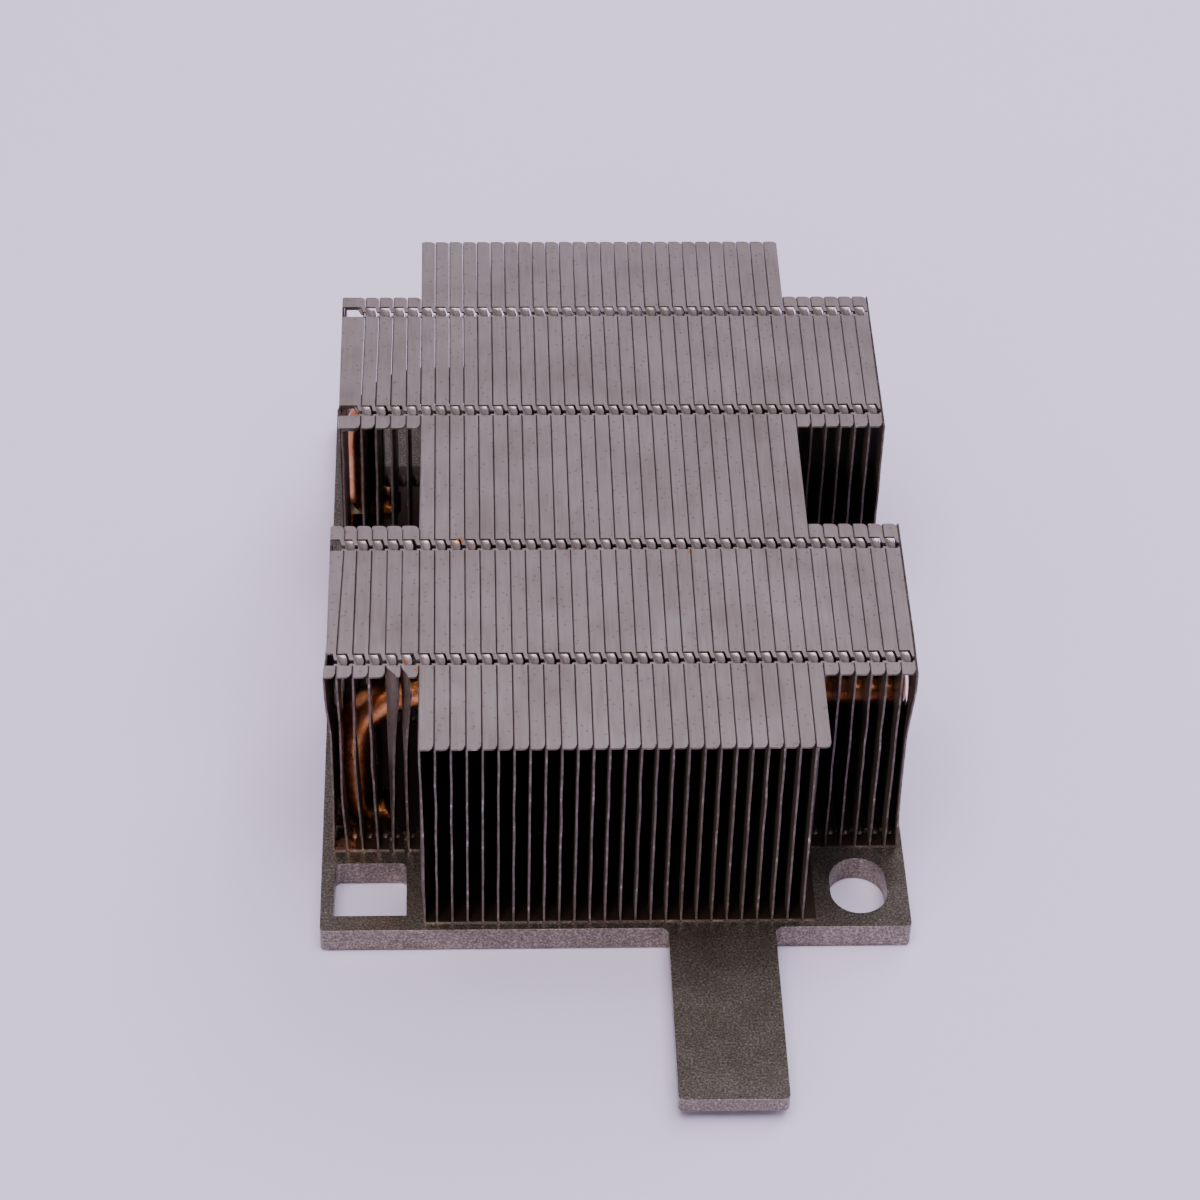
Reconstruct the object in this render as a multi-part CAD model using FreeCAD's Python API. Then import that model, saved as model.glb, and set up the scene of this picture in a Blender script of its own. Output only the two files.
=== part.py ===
import FreeCAD, Part
import math
import os

# Passive server CPU heatsink: a nickel plated base plate with a finger tab,
# a stack of folded sheet fins whose flanges lock together with tongues, and
# two copper heat pipes that rise at the left and run back through the fins.
# Millimetres.  X runs across the fins, Y along the channels, Z up.
# The origin is the centre of the base plate's underside.

# ---- driving dimensions -------------------------------------------------
PLATE_WIDTH = 89.4
PLATE_DEPTH = 123.4
PLATE_THICK = 4.25
PLATE_CORNER_R = 0.9

TAB_WIDTH = 16.2
TAB_LENGTH = 33.3
TAB_THICK = 2.6
TAB_CENTRE_X = 15.9
TAB_CORNER_R = 0.9
TAB_ROOT_WEB = 0.8            # small webs in the corners where it leaves the plate

GUIDE_X = 37.2                # centres of the two guide openings, left and right
GUIDE_Y = -53.3
WINDOW_WIDTH = 11.0
WINDOW_LENGTH = 10.7
WINDOW_CORNER_R = 1.1         # rear corners only, the front ones are sharp
SLOT_WIDTH = 8.7
SLOT_LENGTH = 11.3

PITCH = 2.3                   # from wall to wall, which is also a flange's width
SHEET = 0.3
FIN_HEIGHT = 37.0
FIN_DEPTH = 120.6             # the full-depth fins in the middle
SIDE_OUTER_Y = 45.2           # the side fins stop here, at the corner spaces
SIDE_INNER_Y = 11.7           # and here, at the gaps for the retainer
MIDDLE_FINS = 26
SIDE_FINS = 6                 # at each end of each side, and one flat end wall at the right
STACK_SHIFT = 0.4             # the stack sits a little right of the plate's centre
FLANGE_CORNER = 0.8

# The two outer fins at the left are squeezed together, more at the rear.
# Their walls stand this many pitches from the middle block's first wall.
LEFT_FRONT_PLACES = (-5.8, -4.84, -4.0, -3.0, -2.0, -1.0)
LEFT_REAR_PLACES = (-5.66, -4.82, -4.0, -3.0, -2.0, -1.0)

LOCK_ROWS_Y = (16.05, 41.4)   # distances of the lock rows from mid depth
LOCK_WIDTH = 2.9              # a window along Y
LOCK_REACH = 1.25             # and along X, from its wall
LOCK_NOTCH = 0.75             # how far the window runs down into the wall
TONGUE_WIDTH = 2.1
TONGUE_TIP = 1.1              # width of its blunt end
TONGUE_REACH = 0.95           # how far it goes into the next fin's window

PIPE_R = 3.0
PIPE_Y = 35.85                # distance of both pipes from mid depth
PIPE_UPPER_Z = 25.9           # axis of the upper leg above the plate
PIPE_LOWER_Z = 0.2            # axis of the lower bend's end below the plate's top
PIPE_LEG_X = -39.5            # axis of the upright leg
UPPER_BEND_R = 11.0
LOWER_BEND_R = 7.5
PIPE_RIGHT_X = 43.2
PIPE_TIP_X = 43.9             # the closed right end narrows to a blunt tip
PIPE_TIP_R = 1.9
PRESSED_HEIGHT = 3.2          # the lower leg is pressed flat, flush with the plate
PRESSED_WIDTH = 7.6
PRESSED_RUN = 2.4             # length over which the round pipe turns flat
PIPE_SIDES = 12
UPPER_BEND_STEPS = 4
LOWER_BEND_STEPS = 3
PIPE_GAP = 0.3                # between a bend and the slots cut for it
HOLE_SIDES = 6                # of the holes in the walls round the upper leg

TOP_Z = PLATE_THICK + FIN_HEIGHT
STACK_X = STACK_SHIFT - MIDDLE_FINS / 2.0 * PITCH
UPPER_BEND_X = PIPE_LEG_X + UPPER_BEND_R
LOWER_BEND_X = PIPE_LEG_X + LOWER_BEND_R
UPPER_Z = PLATE_THICK + PIPE_UPPER_Z
LOWER_Z = PLATE_THICK - PIPE_LOWER_Z


# ---- shared shapes ------------------------------------------------------
def point(x, y, z):
    return FreeCAD.Vector(x, y, z)


def box(x0, x1, y0, y1, z0, z1):
    return Part.makeBox(x1 - x0, y1 - y0, z1 - z0, point(x0, y0, z0))


def outline(corners):
    return Part.makePolygon(list(corners) + [corners[0]])


def prism(corners, direction):
    """A closed outline pushed straight along a vector."""
    return Part.Face(outline(corners)).extrude(direction)


def skin(rings):
    """A solid through rings of points, each with as many corners, closed at both ends."""
    faces = [Part.Face(outline(rings[0])), Part.Face(outline(rings[-1]))]
    for near, far in zip(rings, rings[1:]):
        for i in range(len(near)):
            j = (i + 1) % len(near)
            faces += quad_faces(near[i], near[j], far[j], far[i])
    return Part.Solid(Part.Shell(faces))


def quad_faces(a, b, c, d, flat_within=1e-6):
    """One flat face on four corners, or two triangles where they are out of plane."""
    normal = (b - a).cross(c - a)
    if abs(normal.normalize().dot(d - a)) < flat_within:
        return [Part.Face(outline([a, b, c, d]))]
    return [Part.Face(outline([a, b, c])), Part.Face(outline([a, c, d]))]


def rounded_block(x0, x1, y0, y1, z0, z1, radii):
    """A block with upright edges rounded; the radii run from (x0, y0) anticlockwise."""
    block = box(x0, x1, y0, y1, z0, z1)
    for (x, y), radius in zip(((x0, y0), (x1, y0), (x1, y1), (x0, y1)), radii):
        if radius:
            upright = [e for e in block.Edges if stands_at(e, x, y)]
            block = block.makeFillet(radius, upright)
    return block


def stands_at(edge, x, y, near=1e-4):
    return all(math.hypot(v.X - x, v.Y - y) < near for v in edge.Vertexes)


# ---- base plate ---------------------------------------------------------
def plate_blank():
    half_w, half_d = PLATE_WIDTH / 2, PLATE_DEPTH / 2
    return rounded_block(-half_w, half_w, -half_d, half_d, 0, PLATE_THICK, [PLATE_CORNER_R] * 4)


def tab():
    """The finger tab: thinner than the plate and flush with its top."""
    x0, x1 = TAB_CENTRE_X - TAB_WIDTH / 2, TAB_CENTRE_X + TAB_WIDTH / 2
    root_y = -PLATE_DEPTH / 2
    low_z = PLATE_THICK - TAB_THICK
    blade = rounded_block(x0, x1, root_y - TAB_LENGTH, root_y, low_z, PLATE_THICK,
                          [TAB_CORNER_R, TAB_CORNER_R, 0, 0])
    return blade.fuse([root_web(x0, -1, root_y, low_z), root_web(x1, 1, root_y, low_z)])


def root_web(x, side, root_y, low_z):
    """The small web that softens the corner between one side of the tab and the plate."""
    corners = [(x, root_y), (x + side * TAB_ROOT_WEB, root_y), (x, root_y - TAB_ROOT_WEB)]
    return prism([point(a, b, low_z) for a, b in corners], point(0, 0, TAB_THICK))


def guide_window():
    half_w, half_l = WINDOW_WIDTH / 2, WINDOW_LENGTH / 2
    return rounded_block(-GUIDE_X - half_w, -GUIDE_X + half_w, GUIDE_Y - half_l, GUIDE_Y + half_l,
                         0, PLATE_THICK, [0, 0, WINDOW_CORNER_R, WINDOW_CORNER_R])


def guide_slot():
    radius = SLOT_WIDTH / 2
    reach = (SLOT_LENGTH - SLOT_WIDTH) / 2
    slot = box(GUIDE_X - radius, GUIDE_X + radius, GUIDE_Y - reach, GUIDE_Y + reach, 0, PLATE_THICK)
    ends = [Part.makeCylinder(radius, PLATE_THICK, point(GUIDE_X, GUIDE_Y + y, 0)) for y in (-reach, reach)]
    return slot.fuse(ends).removeSplitter()


def pipe_channel(mid_y):
    """The milled channel that a pipe's lower leg is pressed and soldered into."""
    half = PRESSED_WIDTH / 2
    start = PIPE_LEG_X - PIPE_R - PIPE_GAP
    return box(start, PIPE_RIGHT_X, mid_y - half, mid_y + half, PLATE_THICK - PRESSED_HEIGHT, PLATE_THICK)


def base_plate():
    plate = plate_blank().fuse(tab())
    cuts = [guide_window(), guide_slot(), pipe_channel(-PIPE_Y), pipe_channel(PIPE_Y)]
    return plate.cut(cuts).removeSplitter()


# ---- heat pipes ---------------------------------------------------------
def section_turns():
    """The angles of a section's corners, with a flat side above, below, left and right."""
    return [2 * math.pi * (i + 0.5) / PIPE_SIDES for i in range(PIPE_SIDES)]


def round_ring(centre, outward, radius=PIPE_R):
    """A round section in the plane of Y and of the unit vector outward."""
    to_corner = radius / math.cos(math.pi / PIPE_SIDES)
    along = point(0, 1, 0)
    return [centre + outward * (to_corner * math.cos(a)) + along * (to_corner * math.sin(a))
            for a in section_turns()]


def pressed_ring(x, mid_y):
    """The section of the pressed leg, whose first corners are on its underside."""
    half_height = PRESSED_HEIGHT / 2
    half_flat = (PRESSED_WIDTH - PRESSED_HEIGHT) / 2
    centre_z = PLATE_THICK - half_height
    to_corner = half_height / math.cos(math.pi / PIPE_SIDES)
    return [point(x, mid_y + math.copysign(half_flat, math.sin(a)) + half_height * math.sin(a),
                  centre_z - to_corner * math.cos(a)) for a in section_turns()]


def bend_rings(centre, radius, start, steps):
    """Sections round a quarter turn in the XZ plane, from the angle start in degrees."""
    rings = []
    for step in range(steps + 1):
        angle = math.radians(start + 90.0 * step / steps)
        outward = point(math.cos(angle), 0, math.sin(angle))
        rings.append(round_ring(centre + outward * radius, outward))
    return rings


def heat_pipe(mid_y):
    """Closed tip, upper leg, bend, upright leg, bend, and the leg pressed into the plate."""
    up = point(0, 0, 1)
    upper_centre = point(UPPER_BEND_X, mid_y, UPPER_Z - UPPER_BEND_R)
    lower_centre = point(LOWER_BEND_X, mid_y, LOWER_Z + LOWER_BEND_R)
    rings = [round_ring(point(PIPE_TIP_X, mid_y, UPPER_Z), up, PIPE_TIP_R),
             round_ring(point(PIPE_RIGHT_X, mid_y, UPPER_Z), up)]
    rings += bend_rings(upper_centre, UPPER_BEND_R, 90, UPPER_BEND_STEPS)
    rings += bend_rings(lower_centre, LOWER_BEND_R, 180, LOWER_BEND_STEPS)
    rings += [pressed_ring(LOWER_BEND_X + PRESSED_RUN, mid_y), pressed_ring(PIPE_RIGHT_X, mid_y)]
    return skin(rings)


# ---- folded fins --------------------------------------------------------
def fin_profile(x, next_x):
    """The folded sheet seen along the channel: a wall with both edges turned to the next wall."""
    low, high, inner = PLATE_THICK, TOP_Z, x + SHEET
    return [(x, low), (next_x, low), (next_x, low + SHEET), (inner, low + SHEET),
            (inner, high - SHEET), (next_x, high - SHEET), (next_x, high), (x, high)]


def flange_corner(x, y, into):
    """The bit that is clipped off a top flange's free edge at one end."""
    cut = FLANGE_CORNER
    corners = [(x, y), (x, y + into * cut), (x - cut, y)]
    return prism([point(a, b, TOP_Z - SHEET) for a, b in corners], point(0, 0, SHEET))


def lock_window(x, row_y):
    """The opening at the top bend that the neighbour's tongue lies in."""
    half = LOCK_WIDTH / 2
    return box(x, x + LOCK_REACH, row_y - half, row_y + half, TOP_Z - LOCK_NOTCH, TOP_Z)


def lock_tongue(x, row_y):
    """A blunt tongue that leaves the free edge at x and dips one sheet at its end."""
    rings = []
    for along, width, top in ((0, TONGUE_WIDTH, TOP_Z), (TONGUE_REACH, TONGUE_TIP, TOP_Z - SHEET)):
        half = width / 2
        corners = ((-half, -SHEET), (half, -SHEET), (half, 0), (-half, 0))
        rings.append([point(x + along, row_y + y, top + z) for y, z in corners])
    return skin(rings)


def lock_rows(y0, y1):
    rows = [sign * row for row in LOCK_ROWS_Y for sign in (-1, 1)]
    return [row for row in rows if y0 < row < y1]


def pipe_hole(x, mid_y):
    """The hole in a wall round the upper leg."""
    to_corner = (PIPE_R + PIPE_GAP) / math.cos(math.pi / HOLE_SIDES)
    turns = [2 * math.pi * i / HOLE_SIDES for i in range(HOLE_SIDES)]
    corners = [point(x, mid_y + to_corner * math.cos(a), UPPER_Z + to_corner * math.sin(a)) for a in turns]
    return prism(corners, point(SHEET, 0, 0))


def inside_of_bend(x, radius):
    """How far the inside of a bend stands from the height of its centre, at a wall's far face."""
    inner = radius - PIPE_R - PIPE_GAP
    away = PIPE_LEG_X + radius - x - SHEET
    return math.sqrt(inner ** 2 - max(0.0, away) ** 2)


def leg_slot(x, mid_y):
    """A slot from the plate up that lets the upright leg through a wall."""
    half = PIPE_R + PIPE_GAP
    return box(x, x + SHEET, mid_y - half, mid_y + half, PLATE_THICK, UPPER_Z + half)


def upper_slot(x, mid_y):
    """A slot where the upper bend comes through a wall."""
    half = PIPE_R + PIPE_GAP
    low = UPPER_Z - UPPER_BEND_R + inside_of_bend(x, UPPER_BEND_R)
    return box(x, x + SHEET, mid_y - half, mid_y + half, low, UPPER_Z + half)


def lower_slot(x, mid_y):
    """A slot where the lower bend comes through a wall, wider where the pipe turns flat."""
    half = foot_half(x)
    high = LOWER_Z + LOWER_BEND_R - inside_of_bend(x, LOWER_BEND_R)
    if x > LOWER_BEND_X:
        high = LOWER_Z + PIPE_R + PIPE_GAP
    return box(x, x + SHEET, mid_y - half, mid_y + half, PLATE_THICK, high)


def foot_half(x):
    """Half the width of a cut at the plate, wider from where the pipe turns flat."""
    return PRESSED_WIDTH / 2 if x > LOWER_BEND_X else PIPE_R + PIPE_GAP


def foot_notch(x, next_x, mid_y):
    """The notch in a bottom flange over the stretch where the pipe stands above the plate."""
    half = foot_half(x)
    start = max(x, PIPE_LEG_X - PIPE_R - PIPE_GAP)
    return box(start, next_x, mid_y - half, mid_y + half, PLATE_THICK, PLATE_THICK + SHEET)


def pipe_cuts(x, next_x, mid_y):
    """All the cuts for one pipe in the fin whose wall stands at x."""
    if x > LOWER_BEND_X + PRESSED_RUN:
        return [pipe_hole(x, mid_y)]
    notch = foot_notch(x, next_x, mid_y)
    if x + SHEET < PIPE_LEG_X - PIPE_R:
        return [notch]
    if x < PIPE_LEG_X + PIPE_R + PIPE_GAP:
        return [notch, leg_slot(x, mid_y)]
    return [notch, upper_slot(x, mid_y), lower_slot(x, mid_y)]


def folded_fin(x, next_x, y0, y1, with_tongues=True):
    """One fin: the folded sheet, its lock windows and tongues, and its cuts for the pipes."""
    profile = [point(a, y0, b) for a, b in fin_profile(x, next_x)]
    fin = prism(profile, point(0, y1 - y0, 0))
    cuts = [flange_corner(next_x, y0, 1), flange_corner(next_x, y1, -1)]
    cuts += [lock_window(x, row) for row in lock_rows(y0, y1)]
    for mid_y in (-PIPE_Y, PIPE_Y):
        if y0 < mid_y < y1:
            cuts += pipe_cuts(x, next_x, mid_y)
    fin = fin.cut(cuts)
    if with_tongues:
        fin = fin.fuse([lock_tongue(next_x, row) for row in lock_rows(y0, y1)])
    return fin.removeSplitter()


def wall_x(place):
    return STACK_X + place * PITCH


def middle_fins():
    half = FIN_DEPTH / 2
    first = folded_fin(wall_x(0), wall_x(1), -half, half)
    fins = {}
    for i in range(MIDDLE_FINS):
        fins["fin_middle_%02d" % (i + 1)] = first.translated(point(i * PITCH, 0, 0))
    return fins


def side_fins(end, y0, y1, left_places):
    """The short fins at one end of the plate: left of the middle block, then right of it."""
    fins = {}
    places = list(left_places) + [0.0]
    for i in range(SIDE_FINS):
        fin = folded_fin(wall_x(places[i]), wall_x(places[i + 1]), y0, y1)
        fins["fin_left_%s_%d" % (end, i + 1)] = fin
    for i in range(SIDE_FINS):
        place = MIDDLE_FINS + i
        last = i == SIDE_FINS - 1
        fin = folded_fin(wall_x(place), wall_x(place + 1), y0, y1, with_tongues=not last)
        fins["fin_right_%s_%d" % (end, i + 1)] = fin
    fins["end_wall_%s" % end] = end_wall(y0, y1)
    return fins


def end_wall(y0, y1):
    """The flat wall that closes the last channel, with the hole that the pipe's tip shows in."""
    x = wall_x(MIDDLE_FINS + SIDE_FINS)
    wall = box(x, x + SHEET, y0, y1, PLATE_THICK, TOP_Z)
    mid_y = math.copysign(PIPE_Y, y0 + y1)
    return wall.cut(pipe_hole(x, mid_y))


# ---- the whole heatsink -------------------------------------------------
def build():
    nodes = {"base_plate": base_plate()}
    nodes["heat_pipe_front"] = heat_pipe(-PIPE_Y)
    nodes["heat_pipe_rear"] = heat_pipe(PIPE_Y)
    nodes.update(middle_fins())
    nodes.update(side_fins("front", -SIDE_OUTER_Y, -SIDE_INNER_Y, LEFT_FRONT_PLACES))
    nodes.update(side_fins("rear", SIDE_INNER_Y, SIDE_OUTER_Y, LEFT_REAR_PLACES))
    return nodes


os.makedirs("parts", exist_ok=True)
for node, solid in build().items():
    solid.exportStep("parts/%s.step" % node)
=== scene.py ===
import math
import random

import bmesh
import bpy
from mathutils import Matrix, Vector


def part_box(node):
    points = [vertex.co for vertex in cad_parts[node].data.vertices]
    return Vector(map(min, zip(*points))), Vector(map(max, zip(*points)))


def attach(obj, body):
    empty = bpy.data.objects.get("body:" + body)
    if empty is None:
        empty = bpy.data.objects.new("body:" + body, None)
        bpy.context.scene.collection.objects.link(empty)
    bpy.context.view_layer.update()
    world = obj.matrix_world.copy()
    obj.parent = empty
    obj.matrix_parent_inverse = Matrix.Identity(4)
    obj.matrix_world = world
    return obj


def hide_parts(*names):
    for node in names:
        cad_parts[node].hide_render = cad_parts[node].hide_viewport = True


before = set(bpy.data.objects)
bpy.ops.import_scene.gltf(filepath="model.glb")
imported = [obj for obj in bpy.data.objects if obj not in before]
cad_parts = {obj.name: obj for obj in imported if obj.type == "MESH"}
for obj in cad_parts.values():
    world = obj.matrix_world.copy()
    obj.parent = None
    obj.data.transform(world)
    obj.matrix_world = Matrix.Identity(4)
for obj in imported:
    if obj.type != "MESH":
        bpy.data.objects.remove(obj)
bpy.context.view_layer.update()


# ---- Base plate ---------------------------------------------------------------
# The plate that presses on the processor: copper, stamped and milled, grit
# blasted and then nickel plated, with a finger tab at the front, two openings
# for the socket frame's guide posts, and channels for the heat pipes.
MM = 0.001
MERGE = 0.001 * MM              # corners nearer than this are one corner
PLATE_EDGE = 0.16 * MM          # the blasting has broken every edge a little
GRIT = 0.22 * MM                # size of the grains that the blasting left


def srgb(hex_colour):
    """An sRGB hex colour as linear RGBA."""
    parts = [int(hex_colour[i:i + 2], 16) / 255 for i in (1, 3, 5)]
    return [p / 12.92 if p <= 0.04045 else ((p + 0.055) / 1.055) ** 2.4 for p in parts] + [1.0]


def new_material(name):
    """An empty principled material, with its node tree and its shader."""
    material = bpy.data.materials.new(name)
    material.use_nodes = True
    return material, material.node_tree, material.node_tree.nodes["Principled BSDF"]


def add(tree, kind, settings=None, **links):
    """Adds a node.  Settings go to its inputs, its colour stops or itself, and links go to its inputs."""
    node = tree.nodes.new(kind)
    for name, value in (settings or {}).items():
        sockets = [socket for socket in node.inputs if name in (socket.name, socket.identifier)]
        if name == "stops":
            elements = node.color_ramp.elements
            while len(elements) < len(value):
                elements.new(0.5)
            for element, (position, colour) in zip(elements, value):
                element.position = position
                element.color = srgb(colour)
        elif sockets:
            sockets[0].default_value = value
        else:
            setattr(node, name, value)
    for name, output in links.items():
        sockets = [socket for socket in node.inputs if name in (socket.name, socket.identifier)]
        tree.links.new(output, sockets[0])
    return node


def blasted_nickel():
    """Electroplated nickel over grit-blasted copper."""
    material, tree, shader = new_material("blasted_nickel_plate")
    shader.inputs["Metallic"].default_value = 1.0
    place = add(tree, "ShaderNodeTexCoord").outputs["Object"]
    # The eye gets a dull grey metal of tiny facets: some flash, most stay dark.  Real grit is nearer
    # 0.1 mm, which would be lost at this distance, so the grains are drawn about twice as coarse.
    grit = add(tree, "ShaderNodeTexVoronoi", {"Scale": 1 / GRIT}, Vector=place)
    grains = add(tree, "ShaderNodeTexNoise", {"Scale": 1 / (1.6 * GRIT), "Detail": 6.0, "Roughness": 0.7},
                 Vector=place)
    # Faint clouds, from uneven plating, run under the grain.
    clouds = add(tree, "ShaderNodeTexNoise", {"Scale": 1 / (5 * MM), "Detail": 6.0}, Vector=place)
    tone = add(tree, "ShaderNodeMix", {"data_type": "FLOAT", "Factor": 0.85}, A=clouds.outputs["Fac"],
               B=grains.outputs["Fac"])
    greys = ((0.38, "#58524d"), (0.52, "#7f776f"), (0.66, "#b6ada6"))
    colour = add(tree, "ShaderNodeValToRGB", {"stops": greys}, Fac=tone.outputs["Result"])
    tree.links.new(colour.outputs["Color"], shader.inputs["Base Color"])
    gloss = add(tree, "ShaderNodeMapRange", {"To Min": 0.27, "To Max": 0.42}, Value=grains.outputs["Fac"])
    tree.links.new(gloss.outputs["Result"], shader.inputs["Roughness"])
    dents = add(tree, "ShaderNodeBump", {"Strength": 0.4, "Distance": 0.05 * MM},
                Height=grit.outputs["Distance"])
    rough = add(tree, "ShaderNodeBump", {"Strength": 0.4, "Distance": 0.04 * MM},
                Height=grains.outputs["Fac"], Normal=dents.outputs["Normal"])
    tree.links.new(rough.outputs["Normal"], shader.inputs["Normal"])
    return material


def mesh_piece(name, mesh, material):
    """Links a mesh as a piece of the heatsink, with its material, parented to the root body."""
    piece = bpy.data.objects.new(name, mesh)
    bpy.context.scene.collection.objects.link(piece)
    mesh.materials.append(material)
    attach(piece, "root")
    return piece


def joined_faces(node):
    """A copy of a CAD node's mesh with its flat faces made whole again."""
    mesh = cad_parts[node].data.copy()
    mesh.materials.clear()
    work = bmesh.new()
    work.from_mesh(mesh)
    bmesh.ops.remove_doubles(work, verts=work.verts, dist=MERGE)
    bmesh.ops.dissolve_limit(work, angle_limit=math.radians(0.5), verts=work.verts, edges=work.edges)
    work.to_mesh(mesh)
    work.free()
    for polygon in mesh.polygons:
        polygon.use_smooth = False
    return mesh


base_plate = mesh_piece("blasted_base_plate", joined_faces("base_plate"), blasted_nickel())
broken = base_plate.modifiers.new("broken_edges", "BEVEL")
broken.width = PLATE_EDGE
broken.segments = 2
broken.limit_method = "ANGLE"
broken.angle_limit = math.radians(35)
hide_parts("base_plate")


# ---- Heat pipes ---------------------------------------------------------------
# Two sealed copper pipes with sintered wick, bent cold: the lower leg is pressed
# flat and soldered into the plate, the upright leg stands in slots at the left,
# and the upper leg runs back through the fins.  Bare copper, with painted shade that darkens it.
PIPE_R = 3.0 * MM
UPPER_BEND_R = 11.0 * MM
LOWER_BEND_R = 4.2 * MM
PRESSED_HALF_Z = 1.6 * MM       # half the height of the lower leg, pressed flat
PRESSED_RUN = 2.4 * MM          # length over which the round pipe turns flat
PRESSED_STEPS = 6
TIP_R = 1.9 * MM                # of the blunt face at the upper tip
TIP_RUN = 0.9 * MM              # length of the rounding behind that face
TIP_STEPS = 6
LEG_SHORT = 0.7 * MM            # how far the lower leg stops short of the upper tip
LEG_SUNK = 0.2 * MM             # the axis lies this far under the plate's top where the bend ends
PIPE_SIDES = 40
BEND_STEPS = 24
STRAIGHT_X = -28 * MM           # to the left of this is the bend, whose painted shade follows the height
FRONT_PIPE_SHADE = (0.95, -1.7)       # painted shade at the plate, and its change up to the upper leg
# The rear pipe's painted shade grows up its leg; the straight upper legs get an even painted shade.
REAR_PIPE_SHADE = (0.2, 0.4)
STRAIGHT_PIPE_SHADE = 0.7


def copper_with_painted_shade():
    """Drawn copper that bending has wrinkled, darkened by painted shade where fins and plate shade it."""
    material, tree, shader = new_material("copper_stains_and_painted_shade")
    shader.inputs["Metallic"].default_value = 1.0
    place = add(tree, "ShaderNodeTexCoord").outputs["Object"]
    # The eye gets a warm satin metal with orange and pink stains, glossier where they are dark.
    stains = add(tree, "ShaderNodeTexNoise", {"Scale": 1 / (3.2 * MM), "Detail": 6.0, "Roughness": 0.62},
                 Vector=place)
    specks = add(tree, "ShaderNodeTexNoise", {"Scale": 1 / (0.35 * MM), "Detail": 4.0}, Vector=place)
    tone = add(tree, "ShaderNodeMix", {"data_type": "FLOAT", "Factor": 0.3}, A=stains.outputs["Fac"],
               B=specks.outputs["Fac"])
    coppers = ((0.3, "#a65a30"), (0.47, "#dc8e58"), (0.7, "#fac494"))
    colour = add(tree, "ShaderNodeValToRGB", {"stops": coppers}, Fac=tone.outputs["Result"])
    gloss = add(tree, "ShaderNodeMapRange", {"To Min": 0.22, "To Max": 0.38}, Value=stains.outputs["Fac"])
    tree.links.new(gloss.outputs["Result"], shader.inputs["Roughness"])
    # Painted shade: brown to nearly black, where the pipe lies in shade.  A colour mix gives its result as
    # outputs[2].
    pipe_shade_attribute = add(tree, "ShaderNodeAttribute", {"attribute_name": "browned"})
    browned = add(tree, "ShaderNodeMix", {"data_type": "RGBA", "B_Color": srgb("#2c140c")},
                  Factor=pipe_shade_attribute.outputs["Fac"], A_Color=colour.outputs["Color"])
    tree.links.new(browned.outputs[2], shader.inputs["Base Color"])
    # Pits and shallow creases break up the highlight that runs along the bend.
    pits = add(tree, "ShaderNodeBump", {"Strength": 0.35, "Distance": 0.06 * MM},
               Height=specks.outputs["Fac"])
    creases = add(tree, "ShaderNodeTexNoise", {"Scale": 1 / (0.9 * MM), "Detail": 2.0}, Vector=place)
    wrinkled = add(tree, "ShaderNodeBump", {"Strength": 0.3, "Distance": 0.2 * MM},
                   Height=creases.outputs["Fac"], Normal=pits.outputs["Normal"])
    tree.links.new(wrinkled.outputs["Normal"], shader.inputs["Normal"])
    return material


def skin(name, rings):
    """A closed mesh through rings of points that each have as many corners."""
    count = len(rings[0])
    verts = [p for ring in rings for p in ring]
    faces = []
    for k in range(len(rings) - 1):
        for i in range(count):
            j = (i + 1) % count
            faces.append((k * count + i, k * count + j, (k + 1) * count + j, (k + 1) * count + i))
    faces.append(tuple(reversed(range(count))))
    faces.append(tuple(range((len(rings) - 1) * count, len(rings) * count)))
    mesh = bpy.data.meshes.new(name)
    mesh.from_pydata(verts, [], faces)
    mesh.validate()
    work = bmesh.new()
    work.from_mesh(mesh)
    bmesh.ops.recalc_face_normals(work, faces=work.faces)
    work.to_mesh(mesh)
    work.free()
    for polygon in mesh.polygons:
        polygon.use_smooth = len(polygon.vertices) == 4
    return mesh


def round_ring(centre, outward, radius):
    """A round section in the plane of Y and of the unit vector outward."""
    turns = [2 * math.pi * i / PIPE_SIDES for i in range(PIPE_SIDES)]
    return [centre + outward * (radius * math.cos(a)) + Vector((0, radius * math.sin(a), 0)) for a in turns]


def flattening_ring(x, mid_y, low_z, high_z, pressed, half_width):
    """A section of the lower leg, round at pressed = 0 and a flat-sided oval at pressed = 1."""
    ring = []
    for i in range(PIPE_SIDES):
        turn = 2 * math.pi * i / PIPE_SIDES
        side, up = math.sin(turn), -math.cos(turn)
        round_point = Vector((x, mid_y + PIPE_R * side, high_z + PIPE_R * up))
        flat = half_width - PRESSED_HALF_Z
        oval_y = mid_y + math.copysign(flat, side) + PRESSED_HALF_Z * side
        oval_point = Vector((x, oval_y, low_z + PRESSED_HALF_Z * (1 + up)))
        ring.append(round_point.lerp(oval_point, pressed))
    return ring


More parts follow.
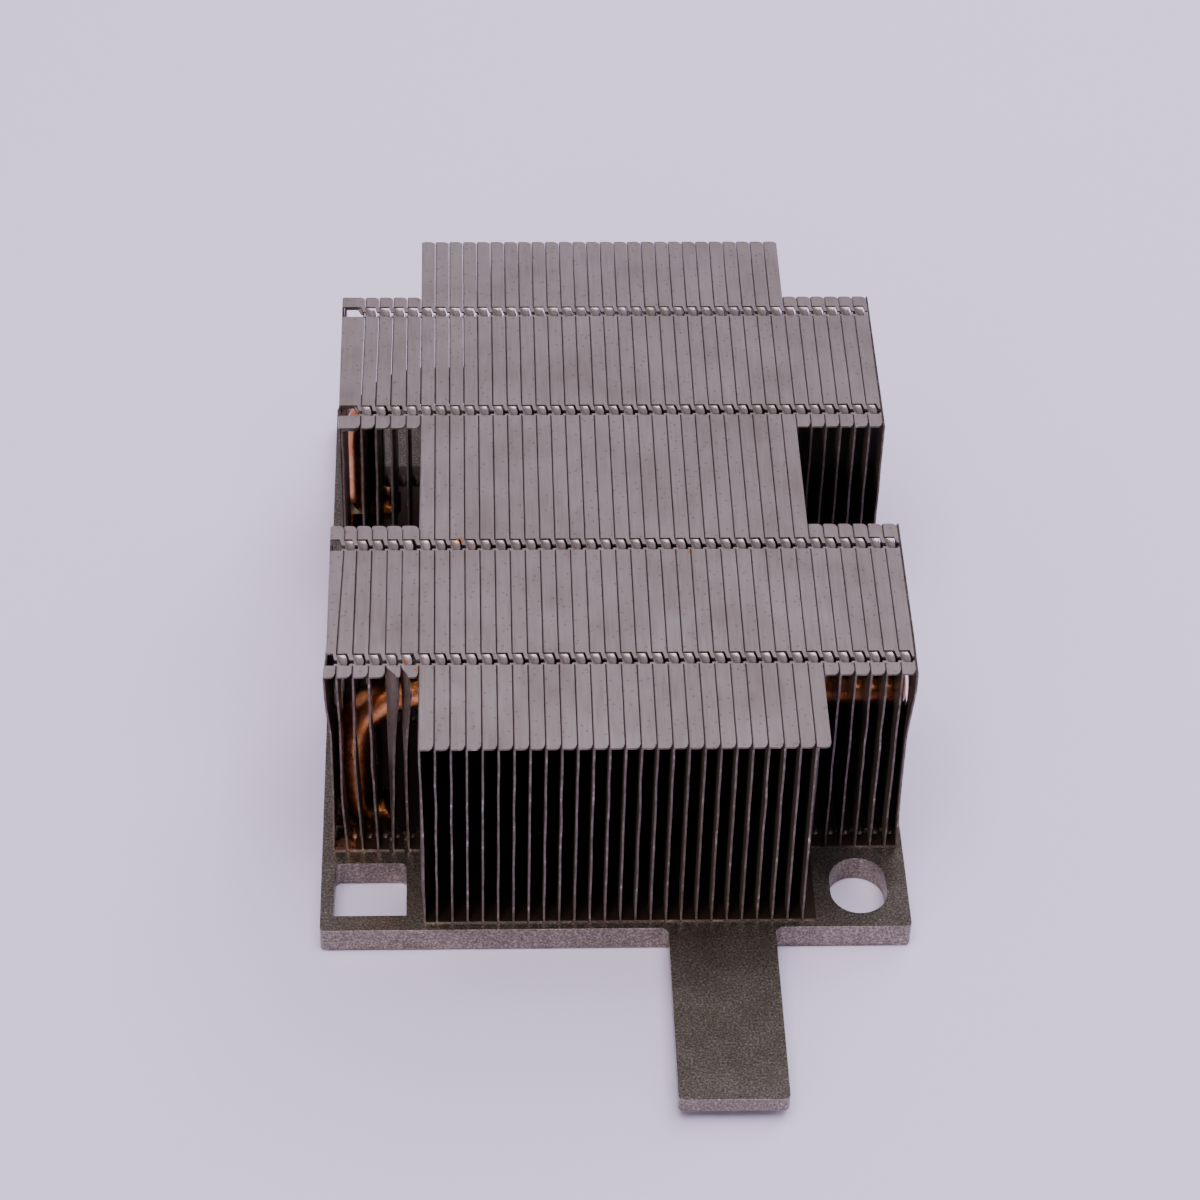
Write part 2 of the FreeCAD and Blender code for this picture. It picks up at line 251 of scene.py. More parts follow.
def heat_pipe(node, name, material):
    """One pipe on the route of its CAD node, as a smooth round tube."""
    low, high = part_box(node)
    mid_y = (low.y + high.y) / 2
    upper_z, leg_x = high.z - PIPE_R, low.x + PIPE_R
    plate_z = low.z + 2 * PRESSED_HALF_Z
    lower_z = plate_z - LEG_SUNK
    up, tip_x = Vector((0, 0, 1)), high.x
    shoulder_x = tip_x - TIP_RUN
    rings = []
    for step in range(TIP_STEPS + 1):
        turn = math.pi / 2 * step / TIP_STEPS
        radius = TIP_R + (PIPE_R - TIP_R) * math.sin(turn)
        x = tip_x - (tip_x - shoulder_x) * (1 - math.cos(turn))
        rings.append(round_ring(Vector((x, mid_y, upper_z)), up, radius))
    upper_centre = Vector((leg_x + UPPER_BEND_R, mid_y, upper_z - UPPER_BEND_R))
    lower_centre = Vector((leg_x + LOWER_BEND_R, mid_y, lower_z + LOWER_BEND_R))
    for centre, radius, start in ((upper_centre, UPPER_BEND_R, 90), (lower_centre, LOWER_BEND_R, 180)):
        for step in range(BEND_STEPS + 1):
            turn = math.radians(start + 90 * step / BEND_STEPS)
            outward = Vector((math.cos(turn), 0, math.sin(turn)))
            rings.append(round_ring(centre + outward * radius, outward, PIPE_R))
    start_x = leg_x + LOWER_BEND_R
    half_width = (high.y - low.y) / 2
    for step in range(1, PRESSED_STEPS + 1):
        run = step / PRESSED_STEPS
        pressed = run * run * (3 - 2 * run)
        x = start_x + PRESSED_RUN * run
        rings.append(flattening_ring(x, mid_y, low.z, lower_z, pressed, half_width))
    rings.append(flattening_ring(tip_x - LEG_SHORT, mid_y, low.z, lower_z, 1.0, half_width))
    mesh = skin(name, rings)
    browned = mesh.attributes.new("browned", "FLOAT", "POINT")
    at_plate, change = FRONT_PIPE_SHADE if mid_y < 0 else REAR_PIPE_SHADE
    for vert, value in zip(mesh.vertices, browned.data):
        height = (vert.co.z - plate_z) / (upper_z - plate_z)
        shade_share = at_plate + change * height
        value.value = min(1.0, max(0.0, shade_share)) if vert.co.x < STRAIGHT_X else STRAIGHT_PIPE_SHADE
    pipe = mesh_piece(name, mesh, material)
    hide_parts(node)


copper = copper_with_painted_shade()
for end in ("front", "rear"):
    heat_pipe("heat_pipe_" + end, "copper_pipe_" + end, copper)


# ---- Folded fins --------------------------------------------------------------
# Each fin is one strip of copper sheet, stamped and folded to a channel: a wall
# with both edges turned over.  Windows at the folds take the dished tongues of the
# fin before it, so the stack zips together.  The stack is nickel plated.
SHEET = 0.3 * MM
BEND_R = 0.34 * MM              # outside of the folds
BEND_STATIONS = 4
CORNER_R = 0.85 * MM            # of a top flange's free corners
SEAM = 0.06 * MM                # between a free edge and the next fin
PITCH = 2.3 * MM                # for a sheet that nothing follows
NEAR = 1e-6                     # places closer than this are the same place
LOCK_ROWS = (-41.4 * MM, -16.05 * MM, 16.05 * MM, 41.4 * MM)
LOCK_HALF = 1.3 * MM            # half a window along the fin
LOCK_NOTCH = 0.75 * MM          # how far the window runs down into the wall
LOCK_LINES = (-1.25, -1.0, -0.72, -0.4, -0.05, 0.35, 0.7, 1.0)      # mesh lines, in half windows
LOCK_CLEAR = 1.6 * MM           # no other mesh line runs nearer a lock row
HOLE_R = 3.25 * MM
HOLE_LINES = (-1.3, -0.9, -0.4, 0.0, 0.4, 0.9, 1.3)     # mesh lines, in radii
HOLE_SQUARE = 0.9               # half the side, in radii, of the square that is rounded to the hole
FILL_STEP = 4.0 * MM            # largest distance between mesh lines along a fin
END_LINES = (0.6, 1.3, 2.2, 3.4, 5.0, 7.0)      # mm in from each end, where the sheet is bent most
PIPE_MID_Y = -(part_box("heat_pipe_front")[0].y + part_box("heat_pipe_front")[1].y) / 2
PIPE_UPPER_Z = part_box("heat_pipe_front")[1].z - PIPE_R
PIPE_LEG_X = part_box("heat_pipe_front")[0].x + PIPE_R
STACK_LOW, STACK_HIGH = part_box("fin_middle_01")

# Bare copper shows through the plating where it was rubbed: (x, y, radius) in mm on the stack's top.
WORN_SPOTS = ((-41.6, 16.4, 1.5), (-23.4, -15.2, 1.0), (-31.3, -41.7, 0.8), (-40.7, -13.2, 0.7),
              (11.8, -18.0, 0.7), (-29.8, -43.6, 0.8), (-42.6, -41.9, 0.7), (-20.9, -16.4, 0.7))

# How walls lean at their front edge: (height above the plate, shift to the right), both in mm.
FRONT_LEANS = {
    "fin_left_front_1": ((0, -0.3), (11.5, 0.0), (19, 0.0), (24.7, -0.02), (30, -0.45), (37, -0.74)),
    "fin_left_front_2": ((0, -0.3), (11, -0.9), (18.8, -0.84), (24, -0.78), (34, -1.0), (37, -1.05)),
    "fin_left_front_3": ((0, 0.1), (11, -0.4), (18.7, -0.68), (34, -0.56), (37, -0.55)),
    "fin_left_front_4": ((0, 0.17), (18.7, -0.43), (34, -0.56), (37, -0.5)),
    "fin_left_front_5": ((0, 0.17), (11, 0.36), (19, 0.6), (24, 0.81), (29.2, 1.1), (32.3, 1.4),
                         (34.4, 1.75), (35.6, 1.6), (36.6, 1.4), (37, 1.3)),
    "fin_left_front_6": ((0, 0.25), (11, 0.1), (19.7, 0.09), (26, 0.48), (32.3, 0.87), (35, 1.15),
                         (36, 0.8), (37, 0.7)),
    "end_wall_front": ((0, -0.45), (10, -0.75), (24, -0.8), (31, -0.25), (34, 0.0), (37, -0.1)),
    "fin_left_rear_2": ((0, -1.5), (37, -1.5)),
    "fin_left_rear_3": ((0, -0.45), (37, -0.3)),
    "fin_left_rear_4": ((0, -0.5), (37, -0.3)),
    "fin_left_rear_5": ((0, -0.3), (37, -0.2)),
    "fin_middle_01": ((0, 0.45), (23.5, 0.3), (33, 0.05), (37, 0.0)),
}
BENT_TABS = ("fin_left_front_5", "fin_left_front_6")
CLEAN_FROM = 20 * MM            # height above the plate from which the bent tabs get no painted shade
BENT_MEETS = -0.3 * MM          # where the fin before a bent one ends its flange, next to the bulge

# How far back along the fin its lean dies out, in mm.  The tucked fin's lean doesn't.
LEAN_RUN = {"fin_left_front_5": 2.8, "fin_left_front_6": 2.6, "fin_left_rear_2": 900.0,
            "fin_left_rear_3": 34.0, "fin_left_rear_4": 34.0, "fin_left_rear_5": 34.0,
            "fin_left_front_2": 34.0, "fin_left_front_3": 34.0, "fin_left_front_4": 34.0}
OTHER_LEAN_RUN = 8.0
BACK_LEAN = -0.35 * MM          # of the left front fins' tops, away from their front edge
WAVES = 3                       # that are added up to the slight waviness of a wall's ends
WAVE_SIZES = (0.006, 0.032)     # mm
WAVE_LENGTHS = (7, 20)          # mm
WAVE_END = 5 * MM               # how far in from its ends a wall is wavy
WAVE_FOOT = 6 * MM              # a wall is fully wavy from this far above its foot
WAVE_TOP = 4 * MM               # up to this far under its top
FLUX_HEIGHT = 4 * MM            # up to here the walls' feet are browned wholly: flux stain and painted shade
WALL_PAINTED_SHADE = 0.75               # how much painted shade darkens the walls above that
# Less painted shade on the rear left walls.
REAR_LEFT_PAINTED_SHADE = 0.3
TOP_FADE = 0.8 * MM             # a wall's painted shade fades out over this much below the tops
PAINTED_PIPE_REFLECTION = 0.85             # how strongly a painted reflection of the copper pipe tints the leftmost fins' feet


def satin_nickel():
    """Electroplated nickel on rolled copper sheet."""
    material, tree, shader = new_material("satin_nickel_sheet")
    shader.inputs["Metallic"].default_value = 1.0
    place = add(tree, "ShaderNodeTexCoord").outputs["Object"]
    # The eye gets a warm grey satin: soft reflections, clouded by uneven plating, with fine rolling
    # lines that run along the channels.
    clouds = add(tree, "ShaderNodeTexNoise", {"Scale": 1 / (9 * MM), "Detail": 4.0}, Vector=place)
    stretch = add(tree, "ShaderNodeMapping", {"Scale": (1.0, 0.06, 1.0)}, Vector=place)
    lines = add(tree, "ShaderNodeTexNoise", {"Scale": 1 / (0.3 * MM), "Detail": 3.0},
                Vector=stretch.outputs["Vector"])
    tone = add(tree, "ShaderNodeMix", {"data_type": "FLOAT", "Factor": 0.35}, A=clouds.outputs["Fac"],
               B=lines.outputs["Fac"])
    greys = ((0.3, "#b0a09f"), (0.5, "#bfb1b1"), (0.7, "#cabfc0"))
    colour = add(tree, "ShaderNodeValToRGB", {"stops": greys}, Fac=tone.outputs["Result"])
    gloss = add(tree, "ShaderNodeMapRange", {"To Min": 0.32, "To Max": 0.44}, Value=lines.outputs["Fac"])
    tree.links.new(gloss.outputs["Result"], shader.inputs["Roughness"])
    grain = add(tree, "ShaderNodeBump", {"Strength": 0.3, "Distance": 0.02 * MM},
                Height=lines.outputs["Fac"])
    tree.links.new(grain.outputs["Normal"], shader.inputs["Normal"])
    # Small dull brown specks, where splashes have dried.
    specks = add(tree, "ShaderNodeTexVoronoi", {"Scale": 1 / (1.2 * MM)}, Vector=place)
    speck_mask = add(tree, "ShaderNodeMapRange", {"From Min": 0.24, "From Max": 0.1, "To Max": 0.42},
                     Value=specks.outputs["Distance"])
    spotted = add(tree, "ShaderNodeMix", {"data_type": "RGBA", "B_Color": srgb("#77665f")},
                  Factor=speck_mask.outputs["Result"], A_Color=colour.outputs["Color"])
    # Painted shade on the walls, darkest at their feet, which also carry a brown flux stain.
    stained = add(tree, "ShaderNodeAttribute", {"attribute_name": "stained"})
    flux_and_shade_mix = add(tree, "ShaderNodeMix", {"data_type": "RGBA", "B_Color": srgb("#584941")},
                 Factor=stained.outputs["Fac"], A_Color=spotted.outputs[2])
    # Ragged spots of pink copper where the nickel is rubbed through, and along the leftmost feet a painted
    # reflection of the copper pipe.
    worn = add(tree, "ShaderNodeAttribute", {"attribute_name": "worn"})
    ragged_noise = add(tree, "ShaderNodeTexNoise", {"Scale": 1 / (0.9 * MM), "Detail": 5.0}, Vector=place)
    patches = add(tree, "ShaderNodeMath", {"operation": "MULTIPLY"}, Value=worn.outputs["Fac"],
                  Value_001=ragged_noise.outputs["Fac"])
    patch_mask = add(tree, "ShaderNodeMapRange", {"From Min": 0.3, "From Max": 0.42},
                     Value=patches.outputs[0])
    coppered = add(tree, "ShaderNodeMix", {"data_type": "RGBA", "B_Color": srgb("#c9967c")},
                   Factor=patch_mask.outputs["Result"], A_Color=flux_and_shade_mix.outputs[2])
    tree.links.new(coppered.outputs[2], shader.inputs["Base Color"])
    return material


def sheared_edge():
    """The sheet's cut edges: copper torn by the punch, under the same thin nickel."""
    material, tree, shader = new_material("nickel_on_sheared_edge")
    # The eye gets a thin line duller and browner than the faces, with brighter nicks along it.
    shader.inputs["Metallic"].default_value = 1.0
    shader.inputs["Roughness"].default_value = 0.5
    place = add(tree, "ShaderNodeTexCoord").outputs["Object"]
    nicks = add(tree, "ShaderNodeTexNoise", {"Scale": 1 / (1.3 * MM), "Detail": 5.0, "Roughness": 0.7},
                Vector=place)
    browns = ((0.35, "#4c4442"), (0.6, "#6f6564"), (0.74, "#bcb4b5"))
    colour = add(tree, "ShaderNodeValToRGB", {"stops": browns}, Fac=nicks.outputs["Fac"])
    tree.links.new(colour.outputs["Color"], shader.inputs["Base Color"])
    return material


def flange_section(width):
    """The bottom flange and its fold from the free edge to the wall: (across, up) points."""
    reach = width - SEAM
    points = [(u, 0.0) for u in (reach, reach - 0.3 * CORNER_R, reach - 0.65 * CORNER_R, reach - CORNER_R)]
    points.append((min(1.05 * MM, reach - CORNER_R - 0.12 * MM), 0.0))
    points.append((BEND_R + 0.05 * MM, 0.0))
    arc = [math.pi / 2 * i / BEND_STATIONS for i in range(BEND_STATIONS + 1)]
    return points + [(BEND_R * (1 - math.sin(a)), BEND_R * (1 - math.cos(a))) for a in arc]


def lines_between(low, high, wanted):
    """Mesh line places from low to high through the wanted ones, none too far apart."""
    places = sorted(set([low, high] + [w for w in wanted if low < w < high]))
    filled = []
    for near, far in zip(places, places[1:]):
        count = max(1, math.ceil((far - near) / FILL_STEP))
        filled += [near + (far - near) * i / count for i in range(count)]
    return filled + [places[-1]]


def table_value(table, height):
    """Straight-line reading of a lean table at a height above the plate, both in mm."""
    for (z0, s0), (z1, s1) in zip(table, table[1:]):
        if height <= z1:
            return s0 + (s1 - s0) * max(0.0, height - z0) / (z1 - z0)
    return table[-1][1]


# The tucked fin's flanges lie under the wide ones of the fin before it, which meet the fin after it.
TUCKED, AFTER_TUCKED = "fin_left_rear_2", "fin_left_rear_3"


class Sheet:
    """Where one fin's wall stands, how it leans, and what follows it in the stack."""

    def __init__(self, node, follower):
        low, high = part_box(node)
        self.node, self.follower = node, follower
        self.x, self.y0, self.y1 = low.x, low.y, high.y
        self.z0, self.height = low.z, high.z - low.z
        self.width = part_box(follower)[0].x - low.x if follower else PITCH
        self.folded = not node.startswith("end_wall")
        self.rows = [row for row in LOCK_ROWS if self.folded and self.y0 < row < self.y1]
        self.pipes = [mid for mid in (-PIPE_MID_Y, PIPE_MID_Y) if self.y0 < mid < self.y1]
        self.locks_on = self.folded and not (follower or "").startswith("end_wall")
        self.tucked = node == TUCKED
        if self.tucked:
            self.height -= 1.3 * SHEET  # so that it stays clear of the flange that covers it
        if not self.folded:
            self.height -= 0.02 * MM    # so that it stays under the folds' tops where it leans

    def slots(self):
        """The cuts that let the upright leg and the bend through: (mid_y, low, high)."""
        # The middle and right fins, and those left of the pipe's leg, have round holes instead.
        if self.x > STACK_LOW.x - 1 * MM or self.x + SHEET < PIPE_LEG_X - PIPE_R:
            return []
        top = PIPE_UPPER_Z + HOLE_R
        if self.x < PIPE_LEG_X + HOLE_R:
            return [(mid, self.z0, top) for mid in self.pipes]
        away = max(0.0, PIPE_LEG_X + UPPER_BEND_R - self.x)
        rise = math.sqrt(max(0.0, (UPPER_BEND_R - HOLE_R) ** 2 - away ** 2))
        return [(mid, PIPE_UPPER_Z - UPPER_BEND_R + rise, top) for mid in self.pipes]


def wall_shift(node, y, z, y0, y1):
    """How far a fin's wall stands off its straight place: leaning at the front, and slightly wavy."""
    rng = random.Random(node)
    rise = min(1.0, max(0.0, (z - STACK_LOW.z) / WAVE_FOOT), max(0.0, (STACK_HIGH.z - z) / WAVE_TOP))
    wave = 0.0
    for _ in range(WAVES):
        size, length, phase = rng.uniform(*WAVE_SIZES), rng.uniform(*WAVE_LENGTHS) * MM, rng.uniform(0, 6.28)
        wave += size * MM * math.sin(z / length * 6.28 + phase)
    ends = max(0.0, 1 - (y - y0) / WAVE_END) + max(0.0, 1 - (y1 - y) / WAVE_END)
    shift = wave * ends * rise
    back = min(1.0, (y - y0) / (LEAN_RUN.get(node, OTHER_LEAN_RUN) * MM))
    fade = 1 - back * back * (3 - 2 * back)
    if node in FRONT_LEANS:
        shift += table_value(FRONT_LEANS[node], (z - STACK_LOW.z) / MM) * MM * fade
    if node.startswith("fin_left_front"):
        shift += BACK_LEAN * (1 - fade) * max(0.0, (z - STACK_LOW.z) / (STACK_HIGH.z - STACK_LOW.z))
    return shift


def moved(sheet, across, y, up):
    """A point of a fin in its leaning place; a flange stretches to the next fin's own lean."""
    z = sheet.z0 + up
    own = wall_shift(sheet.node, y, z, sheet.y0, sheet.y1)
    share = across / sheet.width
    if share > 0 and sheet.follower:
        bent = sheet.follower in BENT_TABS
        meets = BENT_MEETS if bent else wall_shift(sheet.follower, y, z, sheet.y0, sheet.y1)
        own += (meets - own) * min(1.0, share)
    return Vector((sheet.x + across + own, y, z))


def onto_circle(y, up, mid, centre_up):
    """Moves the grid points on the square cut for a pipe hole onto its circle."""
    a, b = (y - mid) / HOLE_R, (up - centre_up) / HOLE_R
    if abs(max(abs(a), abs(b)) - HOLE_SQUARE) > 0.01:
        return y, up
    half = HOLE_SQUARE / 2
    turn = math.atan2(round(b / half) * half, round(a / half) * half)
    return mid + HOLE_R * math.cos(turn), centre_up + HOLE_R * math.sin(turn)


def is_cut(sheet, across, up, y, slots, eye):
    """True where a cell of the sheet lies in a window, a pipe hole or a slot."""
    depth = min(up, sheet.height - up)
    for row in sheet.rows:
        v = y - row
        if abs(v) < LOCK_HALF and depth < LOCK_NOTCH:
            # The window, or the pierced eye between it and the free edge.
            if across < eye or (depth < BEND_R and -0.72 * LOCK_HALF < v < -0.05 * LOCK_HALF):
                return True
    if across > NEAR and up > BEND_R:
        return False
    hole_up = PIPE_UPPER_Z - sheet.z0
    cut_mids = [mid for mid, low, high in slots]
    for mid in sheet.pipes:
        in_square = max(abs(y - mid), abs(up - hole_up)) < HOLE_SQUARE * HOLE_R
        if mid not in cut_mids and across < NEAR and in_square:
            return True
    for mid, low, high in slots:
        if abs(y - mid) < HOLE_SQUARE * HOLE_R and low - NEAR <= sheet.z0 + up < high:
            return True
    return False


def fin_grid(sheet):
    """The fin's section points (across, up) and its lines along the channel."""
    fold = flange_section(sheet.width) if sheet.folded else [(0.0, 0.0)]
    hole_up = PIPE_UPPER_Z - sheet.z0
    wanted = [LOCK_NOTCH, sheet.height - LOCK_NOTCH] + [hole_up + HOLE_R * k for k in HOLE_LINES]
    wanted += [end - sheet.z0 for mid, low, high in sheet.slots() for end in (low, high)]
    edge = BEND_R if sheet.folded else 0.0
    wall = lines_between(edge, sheet.height - edge, wanted)[1:-1]
    section = fold + [(0.0, up) for up in wall] + [(a, sheet.height - up) for a, up in reversed(fold)]
    wanted = [sheet.y0 + CORNER_R, sheet.y1 - CORNER_R]
    for mm in END_LINES:
        wanted += [sheet.y0 + mm * MM, sheet.y1 - mm * MM]
    wanted = [w for w in wanted if all(abs(w - row) > LOCK_CLEAR for row in sheet.rows)]
    wanted += [row + LOCK_HALF * k for row in sheet.rows for k in LOCK_LINES]
    wanted += [mid + HOLE_R * k for mid in sheet.pipes for k in HOLE_LINES]
    return section, lines_between(sheet.y0, sheet.y1, wanted)


def fin_mesh(sheet):
    """The folded sheet's outer skin with its windows, holes and tongues."""
    section, lines = fin_grid(sheet)
    slots = sheet.slots()
    eye = sheet.width - SEAM - 0.65 * CORNER_R
    round_holes = [] if slots else sheet.pipes
    index, verts, faces = {}, [], []

    def vertex(i, j):
        if (i, j) in index:
            return index[i, j]
        across, up = section[i]
        y = lines[j]
        # The top flange's free corners are rounded.
        over = across - (sheet.width - SEAM - CORNER_R)
        if over > 0 and up > BEND_R and j in (0, len(lines) - 1):
            drop = CORNER_R - math.sqrt(max(0.0, CORNER_R ** 2 - over ** 2))
            y += drop if j == 0 else -drop
        # The window's far edge runs aslant.
        for row in sheet.rows:
            if abs(y - row) <= LOCK_HALF + NEAR and abs(across - eye) < NEAR:
                slanted = sheet.width - 0.35 * MM - 0.25 * (y - row)
                across = min(slanted, sheet.width - SEAM - 0.32 * CORNER_R)
        if across < NEAR:
            for mid in round_holes:
                y, up = onto_circle(y, up, mid, PIPE_UPPER_Z - sheet.z0)
        index[i, j] = len(verts)
        verts.append(moved(sheet, across, y, up))
        return index[i, j]

    for i in range(len(section) - 1):
        across, up = (section[i][0] + section[i + 1][0]) / 2, (section[i][1] + section[i + 1][1]) / 2
        for j in range(len(lines) - 1):
            if not is_cut(sheet, across, up, (lines[j] + lines[j + 1]) / 2, slots, eye):
                faces.append((vertex(i, j), vertex(i + 1, j), vertex(i + 1, j + 1), vertex(i, j + 1)))
    for mid_y in round_holes if sheet.folded else ():
        add_collar(sheet, mid_y, verts, faces)
    if sheet.locks_on:
        for row in sheet.rows:
            add_tongue(sheet, row, False, verts, faces)
            if not sheet.tucked:
                add_tongue(sheet, row, True, verts, faces)
    return verts, faces


COLLAR = ((0.0, 3.66), (0.1, 3.44), (0.3, 3.33), (0.85, 3.3))   # outside: (from the wall, radius) in mm
COLLAR_SIDES = 28


def add_collar(sheet, mid_y, verts, faces):
    """The drawn collar that stands round a pipe hole and grips the pipe."""
    start = len(verts)
    for out, radius in COLLAR:
        for i in range(COLLAR_SIDES):
            turn = 2 * math.pi * i / COLLAR_SIDES
            verts.append(Vector((sheet.x + SHEET + out * MM, mid_y + radius * MM * math.cos(turn),
                                 PIPE_UPPER_Z + radius * MM * math.sin(turn))))
    for ring in range(len(COLLAR) - 1):
        for i in range(COLLAR_SIDES):
            p = start + ring * COLLAR_SIDES + i
            q = start + ring * COLLAR_SIDES + (i + 1) % COLLAR_SIDES
            faces.append((p, q, q + COLLAR_SIDES, p + COLLAR_SIDES))


# A tongue's cross-lines along the fin: (place as a share of half a window, reach in mm, share of the
# dish's depth).  DISH is that depth in mm at each line from the free edge to the tip.
TONGUE = ((-1.0, 1.42, 0.3), (-0.72, 1.6, 0.75), (-0.4, 1.7, 1.0), (-0.05, 1.71, 1.0), (0.35, 1.65, 0.95),
          (0.7, 1.5, 0.8), (0.86, 1.32, 0.55))
DISH = (0.0, 0.0, 0.06, 0.28, 0.42, 0.4, 0.33)


def add_tongue(sheet, row, on_top, verts, faces):
    """The dished tongue that leaves the free edge at a row and lies in the next fin's window."""
    start, columns = len(verts), len(DISH)
    for k, tip, dished in TONGUE:
        # The crease, in mm from the free edge, runs aslant.  The dish lies between it and the tip.
        crease = 0.06 + 0.36 * max(0.0, 0.8 - k)
        across = (0.0, crease * 0.6, crease, crease + 0.2, (crease + tip) / 2 + 0.14, tip - 0.14, tip)
        for a, depth in zip(across, DISH):
            drop = depth * dished * MM
            up = sheet.height - drop if on_top else drop
            verts.append(moved(sheet, sheet.width - SEAM + a * MM, row + k * LOCK_HALF, up))
    for a in range(len(TONGUE) - 1):
        for b in range(columns - 1):
            if b == 0 and a in (1, 2):      # the pierced eye's other half
                continue
            p = start + a * columns + b
            face = (p, p + columns, p + columns + 1, p + 1)
            faces.append(tuple(reversed(face)) if on_top else face)


def flux_and_shade_share(node, p):
    """How much painted shade darkens the sheet: the feet wholly, where flux also stains them, the walls
    partly, the tops not.
    """
    wall = REAR_LEFT_PAINTED_SHADE if "left_rear" in node else WALL_PAINTED_SHADE
    if node in BENT_TABS and p.z > STACK_LOW.z + CLEAN_FROM:
        wall = 0.0
    below_top = (STACK_HIGH.z - p.z) / TOP_FADE
    return max(wall * min(1.0, below_top), 1 - (p.z - STACK_LOW.z) / FLUX_HEIGHT)


def wear_and_reflection_share(p):
    """How much pink copper a point gets: 1 in a worn spot, a painted pipe reflection along the leftmost
    feet, 0 elsewhere.
    """
    share = 0.0
    # The worn spots are on the stack's top only.  The leftmost fins' feet get a painted reflection of the
    # pipe.
    for x, y, radius in WORN_SPOTS:
        if p.z > STACK_HIGH.z - 2 * MM:
            away = math.hypot(p.x / MM - x, p.y / MM - y) / radius
            share = max(share, 1 - max(0.0, away - 0.4))
    if p.x < STACK_LOW.x - 10 * MM and p.z < STACK_LOW.z + 1.2 * MM:
        share = max(share, PAINTED_PIPE_REFLECTION)
    return max(0.0, share)


def fold_fin(sheet, name):
    """Makes the piece for one fin, gives it the sheet's thickness and puts it in its node's place."""
    verts, faces = fin_mesh(sheet)
    mesh = bpy.data.meshes.new(name)
    mesh.from_pydata(verts, [], faces)
    mesh.validate()
    worn = mesh.attributes.new("worn", "FLOAT", "POINT")
    stained = mesh.attributes.new("stained", "FLOAT", "POINT")
    for vert, value, shade_value in zip(mesh.vertices, worn.data, stained.data):
        value.value = wear_and_reflection_share(vert.co)
        shade_value.value = flux_and_shade_share(sheet.node, vert.co)
    for polygon in mesh.polygons:
        polygon.use_smooth = True
    piece = mesh_piece(name, mesh, nickel)
    mesh.materials.append(cut_edge)
    thick = piece.modifiers.new("sheet", "SOLIDIFY")
    thick.thickness = SHEET
    thick.offset = -1.0
    thick.use_quality_normals = True
    thick.material_offset_rim = 1
    sheared = piece.modifiers.new("sheared_edges", "EDGE_SPLIT")
    sheared.split_angle = math.radians(40)
    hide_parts(sheet.node)


nickel = satin_nickel()
cut_edge = sheared_edge()
fin_rows = [["fin_middle_%02d" % (i + 1) for i in range(26)] + [None]]
for end in ("front", "rear"):
    fin_rows.append(["fin_left_%s_%d" % (end, i + 1) for i in range(6)] + ["fin_middle_01"])
    fin_rows.append(["fin_right_%s_%d" % (end, i + 1) for i in range(6)] + ["end_wall_" + end])
for fin_row in fin_rows:
    for node, follower in zip(fin_row, fin_row[1:]):
        if follower == TUCKED:
            follower = AFTER_TUCKED
        fold_fin(Sheet(node, follower), "folded_" + node)


# ---- End walls ----------------------------------------------------------------
# The flat sheets that close the last channels at the right, punched for the
# pipes' tips.  The same nickel plated copper sheet as the fins, left unfolded.
for end in ("front", "rear"):
    fold_fin(Sheet("end_wall_" + end, None), "flat_end_wall_" + end)


# ---- Floor, light and camera --------------------------------------------------
# A plain pale sheet of paper under the heatsink.  The metal mirrors a soft sky,
# a ceiling light and a small lamp at the front left that reaches the pipes.  The
# ceiling light and a window brighten the paper.
PAPER_HALF = 2.5
PAPER_GAP = 0.2 * MM            # so that the paper and the plate's underside don't flicker
paper_corners = [(-PAPER_HALF, -PAPER_HALF, 0), (PAPER_HALF, -PAPER_HALF, 0), (PAPER_HALF, PAPER_HALF, 0),
                 (-PAPER_HALF, PAPER_HALF, 0)]
floor_mesh = bpy.data.meshes.new("floor")
floor_mesh.from_pydata(paper_corners, [], [(0, 1, 2, 3)])
floor = bpy.data.objects.new("floor", floor_mesh)
bpy.context.scene.collection.objects.link(floor)
floor.location = (0, 0, -PAPER_GAP)
# Uncoated paper: quite matt and nearly white, a little violet as in cool daylight.
paper, paper_tree, paper_shader = new_material("uncoated_pale_paper")
paper_shader.inputs["Base Color"].default_value = srgb("#e8dcf9")
paper_shader.inputs["Roughness"].default_value = 0.9
floor_mesh.materials.append(paper)

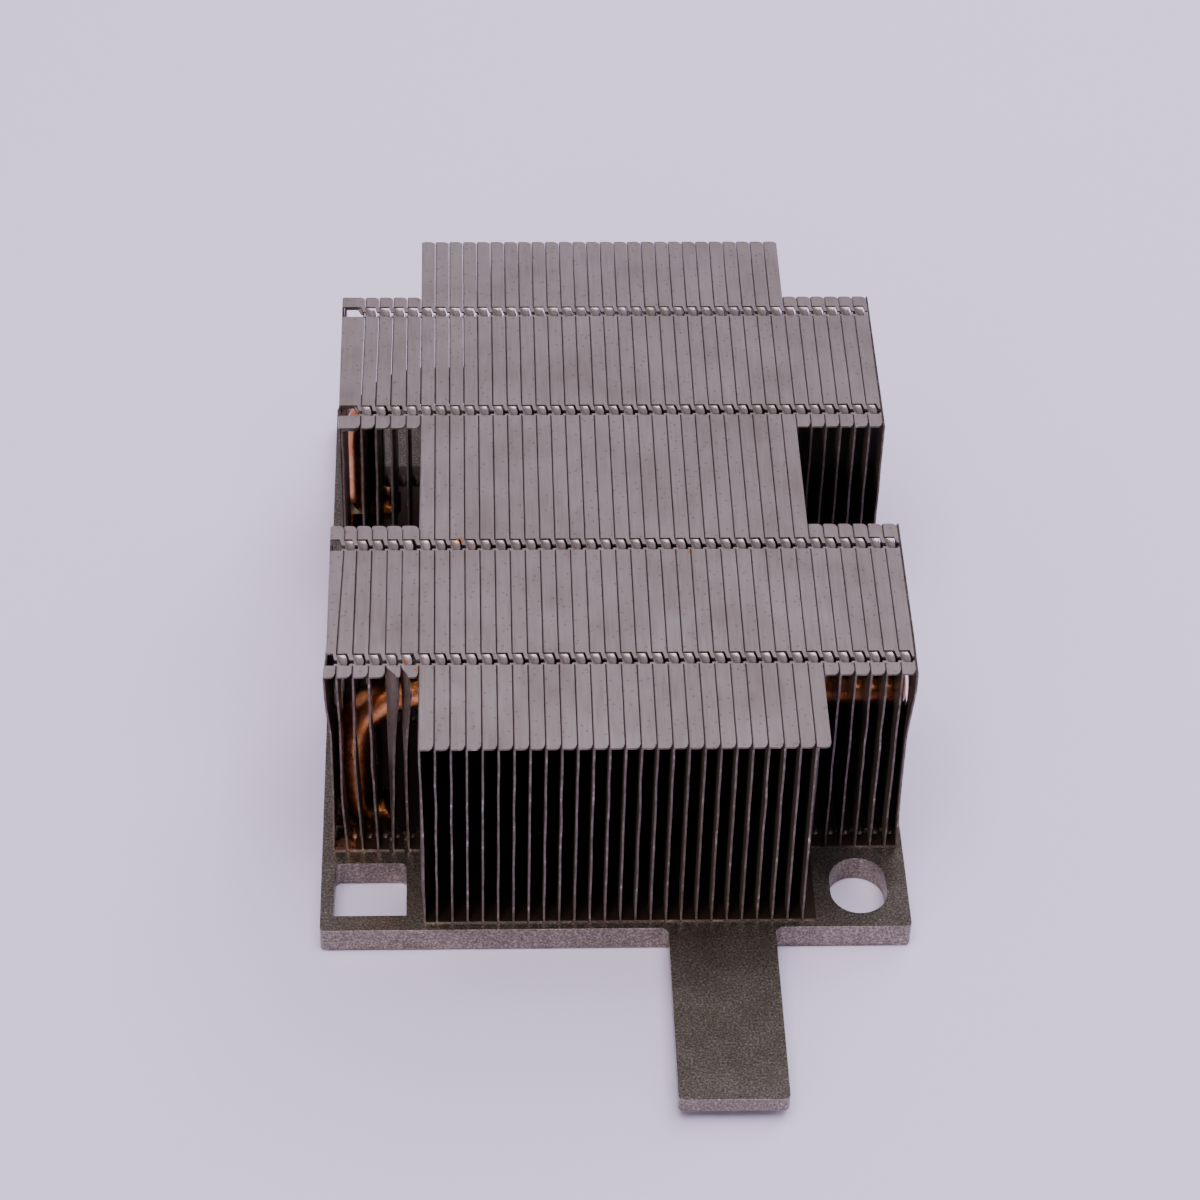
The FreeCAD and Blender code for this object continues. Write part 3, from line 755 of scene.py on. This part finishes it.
# The sky is bright half way up, and darker overhead and at the horizon.
world = bpy.data.worlds.new("studio")
world.use_nodes = True
sky = world.node_tree
toward = add(sky, "ShaderNodeSeparateXYZ", Vector=add(sky, "ShaderNodeTexCoord").outputs["Generated"])
rise = add(sky, "ShaderNodeMapRange", {"From Min": 0.2, "From Max": 0.9}, Value=toward.outputs["Z"])
sky_stops = ((0.0, "#7d7782"), (0.4, "#efeaf8"), (0.62, "#efeaf8"), (0.82, "#8d8691"))
sky_colour = add(sky, "ShaderNodeValToRGB", {"stops": sky_stops}, Fac=rise.outputs["Result"])
sky.links.new(sky_colour.outputs["Color"], sky.nodes["Background"].inputs["Color"])
sky.nodes["Background"].inputs["Strength"].default_value = 0.68
bpy.context.scene.world = world


AIM = Vector((0, 0, 20 * MM))   # about half way up the heatsink


def soft_light(name, location, size, power, colour, on_paper=True, in_metal=True):
    """A square area light aimed at the heatsink, which may leave out the paper or the metal."""
    data = bpy.data.lights.new(name, "AREA")
    data.size = size
    data.energy = power
    data.color = srgb(colour)[:3]
    lamp = bpy.data.objects.new(name, data)
    bpy.context.scene.collection.objects.link(lamp)
    lamp.location = location
    lamp.rotation_euler = (AIM - lamp.location).to_track_quat("-Z", "Y").to_euler()
    lamp.visible_diffuse = on_paper
    lamp.visible_glossy = in_metal


soft_light("window", (0.4, 0.7, 0.8), 0.8, 8.0, "#f6f0ff", in_metal=False)
soft_light("ceiling", (0.0, -0.15, 1.1), 1.0, 15.0, "#fbf7ff")
soft_light("lamp", (-0.28, -0.6, 0.36), 0.14, 12.0, "#fff1e4", on_paper=False)

# The camera stands in front of the heatsink, a little left, looking down at it.
CAMERA_PLACE = Vector((-0.02269, -0.42957, 0.41093))
RIGHT = Vector((0.99928548, -0.03123135, 0.02128701))
DOWN = Vector((-0.00552268, -0.67781721, -0.73520972))
FORWARD = Vector((0.03739029, 0.73456683, -0.67750537))
camera_data = bpy.data.cameras.new("camera")
camera_data.lens = 108.80
camera_data.sensor_width = 36.0
camera_data.clip_start = 0.01
camera = bpy.data.objects.new("camera", camera_data)
bpy.context.scene.collection.objects.link(camera)
camera_turn = Matrix((RIGHT, -DOWN, -FORWARD)).transposed().to_4x4()
camera.matrix_world = Matrix.Translation(CAMERA_PLACE) @ camera_turn
bpy.context.scene.camera = camera
